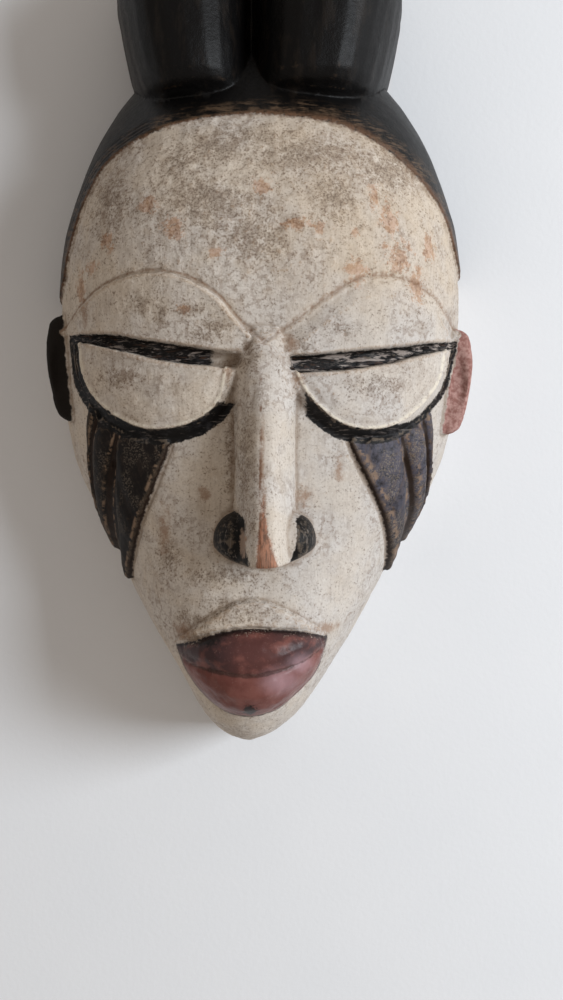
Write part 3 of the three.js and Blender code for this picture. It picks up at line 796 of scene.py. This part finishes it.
def tress_paint(m):
    """Nearly black on the left, and on the right bluish with dust and a painted sheen, with worn
    streaks and lit seams.
    """
    times, plus, less, rise, blend, right = m.times, m.plus, m.less, m.rise, m.blend, m.right
    across = m.add("ShaderNodeCombineXYZ", {"X": m.read("across")})
    along = m.add("ShaderNodeMapping", {"Vector": m.place, "Scale": (0.0, 0.05, 0.0)})
    flutes = m.add("ShaderNodeVectorMath", {0: across.outputs[0], 1: along.outputs[0]},
                   operation="ADD")
    fibre = m.add("ShaderNodeTexNoise", {"Vector": flutes.outputs[0], "Scale": 0.45,
                                         "Detail": 4.0, "Roughness": 0.65}).outputs["Fac"]
    # Dust and painted sheen: a patchy bluish grey on the right tresses, standing in for the light
    # glancing off them as well as for dust.
    dust_and_sheen = times(rise(m.mottle, 0.3, 0.6), times(right, rise(m.y, -108, -60)))
    tress = blend(dust_and_sheen, srgb(13, 12, 13), srgb(86, 85, 97))
    streak = rise(plus(fibre, m.sway(m.mottle, 1.1)), 0.52, 0.66)
    tress = blend(times(streak, plus(times(right, 0.34), 0.1)), tress, srgb(86, 70, 58))
    lower = times(right, rise(m.y, -60, -100, 0.1))
    zone = rise(plus(m.noise((7, 16, 7), 2), lower), 0.47, 0.6)
    speck = times(zone, rise(m.noise(0.7, 2, 0.8), 0.5, 0.6, 0.7))
    tress = blend(times(speck, plus(0.5, times(right, 0.5))), tress, srgb(138, 126, 112))
    seam = m.read("seam")
    tress = blend(m.rest(rise(seam, 0.3, 1.2, 0.8)), tress, srgb(40, 28, 21))
    lit = m.math("ABSOLUTE", less(seam, plus(1.6, times(right, 0.8))))
    lit = m.rest(rise(lit, 0.1, plus(0.8, times(right, 1.4))))
    lit = times(lit, rise(plus(m.small, times(m.medium, 0.8)), 0.84, 1.02, 0.8))
    tress = blend(lit, tress, srgb(138, 114, 94))
    return blend(times(m.rubbed, 0.4), tress, srgb(98, 82, 66))


def hair_paint(m):
    """Black hair: long stains, worn strands beside the hairline, and brown edges."""
    times, plus, rise, blend, noise = m.times, m.plus, m.rise, m.blend, m.noise
    hair = blend(rise(noise((6, 22, 9), 3, 0.7), 0.5, 0.7, 0.3), srgb(7, 6, 6), srgb(44, 36, 29))
    strand = noise((11, 1.4, 6), 4, 0.8)
    border = m.read("hair")
    near = m.rest(rise(border, 3.0, plus(8.0, times(m.right, 3.5))))
    near = times(near, rise(m.medium, 0.34, 0.56))
    hair = blend(times(near, rise(strand, 0.45, 0.6, 0.75)), hair, srgb(104, 84, 66))
    worn = rise(plus(strand, m.sway(m.broad, 0.6)), 0.56, 0.7, 0.45)
    hair = blend(times(worn, rise(m.y, 92, 82)), hair, srgb(70, 57, 45))
    rubbed = rise(plus(m.edge, m.sway(m.small, 1.5)), 0.5, 1.0, 0.4)
    hair = blend(rubbed, hair, srgb(76, 61, 47))
    reach = plus(1.3, times(m.right, 2.4))
    line = m.rest(rise(plus(border, times(m.ragged, 0.9)), 0.0, reach))
    return blend(times(line, rise(m.mottle, 0.34, 0.56)), hair, srgb(98, 72, 54))


def lip_paint(m):
    """Red-brown, darker above, with a pale crease, a sheen, and a dark and crumbling border."""
    times, plus, rise, blend = m.times, m.plus, m.rise, m.blend
    lip = blend(rise(m.medium, 0.36, 0.66), srgb(112, 66, 59), srgb(132, 84, 76))
    upper = m.rest(rise(plus(m.read("lower"), times(m.fraying, 0.5)), -2.0, 2.0))
    middle = rise(m.math("ABSOLUTE", plus(m.x, 1.0)), 16, 4)
    shade = blend(middle, srgb(62, 47, 49), srgb(92, 58, 55))
    lip = blend(times(upper, rise(m.medium, 0.72, 0.44, 0.9)), lip, shade)
    crease = m.math("ABSOLUTE", plus(m.read("lower"), times(m.ragged, 0.3)))
    crease = m.rest(rise(crease, 0.2, 1.1))
    lip = blend(times(crease, rise(m.fine, 0.42, 0.6, 0.5)), lip, srgb(136, 110, 100))
    # Painted highlight: a pale sheen on the right of the lips, placed by the last two worn places.
    sheen = rise(plus(m.bald, times(m.ragged, 0.1)), -0.3, 0.9, 0.6)
    lip = blend(sheen, lip, srgb(178, 146, 152))
    lip = blend(rise(m.fine, 0.62, 0.72, 0.35), lip, srgb(150, 116, 106))
    sooty = rise(plus(times(m.soot, 2.0), m.ragged), 0.2, 1.0, 0.92)
    lip = blend(sooty, lip, srgb(18, 14, 13))
    lip = blend(rise(m.cavity, 0.1, 0.6, 0.6), lip, srgb(46, 30, 27))
    border = m.read("lip")
    dark = m.rest(rise(plus(border, times(m.ragged, 0.9)), 0.4, plus(1.2, upper), 0.85))
    lip = blend(dark, lip, srgb(36, 25, 24))
    crumbs = times(m.rest(rise(border, 0.4, 3.4)), rise(m.fine, 0.58, 0.64, 0.8))
    crumbs = times(crumbs, rise(m.medium, 0.46, 0.56))
    return blend(crumbs, lip, srgb(190, 176, 160))


def painted_wood():
    """The mask's one material: each paint in its place, over bare wood at the back."""
    m = Paint()
    times, plus, less, rise, blend = m.times, m.plus, m.less, m.rise, m.blend
    tip = blend(rise(m.grain, 0.36, 0.66), srgb(160, 108, 82), srgb(98, 66, 50))
    red = blend(rise(m.small, 0.35, 0.65), srgb(176, 140, 132), srgb(136, 96, 88))
    # Painted shade: the left ear is made near black, the right one red-brown.
    ear = blend(m.right, srgb(34, 30, 27), red)
    wood = blend(rise(m.noise((2.2, 34, 2.2), 3, 0.65), 0.35, 0.7), srgb(146, 108, 74),
                 srgb(96, 66, 44))
    wood = blend(rise(m.cavity, 0.05, 0.6, 0.6), wood, srgb(60, 42, 30))

    def within(name, frayed, low, high, to=1.0):
        return rise(plus(m.read(name), frayed), low, high, to)

    in_tress = within("tress", times(m.ragged, 0.5), -0.3, 0.3)
    in_ink = within("ink", times(m.ragged, 0.7), -0.3, 0.3)
    in_hair = within("hair", times(m.fraying, 0.4), -1.2, 0.3)
    in_lip = within("lip", times(m.ragged, 0.3), -0.2, 0.3)
    bare = within("bare", times(m.ragged, 0.15), 0.35, 0.65)
    colour = white_lines(m, white_wear(m, white_paint(m)))
    for share, paint in (
        (in_tress, tress_paint(m)),
        (within("ear", times(m.ragged, 0.2), 0.3, 0.7), ear),
        (in_ink, ink_paint(m)),
        (in_lip, lip_paint(m)),
        (within("tip", times(m.fraying, 0.45), -0.6, 0.7, 0.9), tip),
        (in_hair, hair_paint(m)),
        (bare, wood),
    ):
        colour = blend(share, colour, paint)

    black = m.math("MAXIMUM", in_tress, in_ink)
    painted = plus(times(black, 0.32), times(in_hair, 0.42))
    shine = times(m.math("MAXIMUM", painted, times(in_lip, 0.52)), m.rest(bare))
    rough = less(plus(0.86, m.sway(m.small, 0.2)), shine)
    height = plus(times(m.mottle, plus(0.42, times(m.high, 0.3))), times(m.grain, 0.14))
    height = times(height, m.rest(shine))
    bump = m.add("ShaderNodeBump", {"Height": height, "Strength": 0.75, "Distance": 0.001})
    m.shader.inputs["Specular IOR Level"].default_value = 0.16
    links = m.tree.links
    links.new(colour, m.shader.inputs["Base Color"])
    links.new(rough, m.shader.inputs["Roughness"])
    links.new(bump.outputs["Normal"], m.shader.inputs["Normal"])
    return m.material


def lay_floor():
    """A plain pale floor just under the rim."""
    half, level = 3, -0.0003
    corners = [(-half, -half, level), (half, -half, level), (half, half, level),
               (-half, half, level)]
    plane = bpy.data.meshes.new("floor")
    plane.from_pydata(corners, [], [(0, 1, 2, 3)])
    floor = bpy.data.objects.new("floor", plane)
    bpy.context.scene.collection.objects.link(floor)
    m = Nodes("floor")
    tone = m.blend(m.noise(60, 3), srgb(226, 228, 231), srgb(232, 233, 235))
    m.tree.links.new(tone, m.shader.inputs["Base Color"])
    bump = m.add("ShaderNodeBump", {"Height": m.noise(2.5, 3), "Strength": 0.2,
                                    "Distance": 0.0004})
    m.tree.links.new(bump.outputs["Normal"], m.shader.inputs["Normal"])
    m.shader.inputs["Roughness"].default_value = 0.8
    plane.materials.append(m.material)


def place_camera():
    """Straight above the face, as far off as the photograph was taken."""
    lens = bpy.data.cameras.new("camera")
    lens.sensor_width = 36
    lens.lens = 47.12
    camera = bpy.data.objects.new("camera", lens)
    camera.location = (0.0095, -0.0725, 0.600)
    bpy.context.scene.collection.objects.link(camera)
    bpy.context.scene.camera = camera


def light_stage():
    """One soft cool light from the right, and a dim warm sky."""
    scene = bpy.context.scene
    light = bpy.data.lights.new("soft_light", "AREA")
    light.energy = 31
    light.size = 0.75
    light.color = (0.88, 0.94, 1.0)
    lamp = bpy.data.objects.new("soft_light", light)
    lamp.location = (1.36, 0.12, 1.1)
    aim = Vector((0, -0.03, 0.04)) - lamp.location
    lamp.rotation_euler = aim.to_track_quat("-Z", "Y").to_euler()
    scene.collection.objects.link(lamp)
    world = bpy.data.worlds.new("world")
    world.use_nodes = True
    sky = world.node_tree.nodes["Background"].inputs
    sky["Color"].default_value = (1, 0.9, 0.81, 1)
    sky["Strength"].default_value = 0.40
    scene.world = world
    scene.view_settings.view_transform = "Standard"


def make_piece():
    """The carving as one object, thinned to the number of triangles that it keeps."""
    mesh, dense_triangles = carve()
    piece = bpy.data.objects.new("carved_mask", mesh)
    bpy.context.scene.collection.objects.link(piece)
    decimate = piece.modifiers.new("decimate", "DECIMATE")
    decimate.ratio = TRIANGLES / dense_triangles
    graph = bpy.context.evaluated_depsgraph_get()
    piece.data = bpy.data.meshes.new_from_object(piece.evaluated_get(graph))
    piece.modifiers.clear()
    piece.data.name = "carved_mask"
    piece.data.shade_smooth()
    piece.data.materials.clear()
    piece.data.materials.append(painted_wood())
    return piece


piece = make_piece()
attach(piece, "root")
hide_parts("mask")

lay_floor()
place_camera()
light_stage()
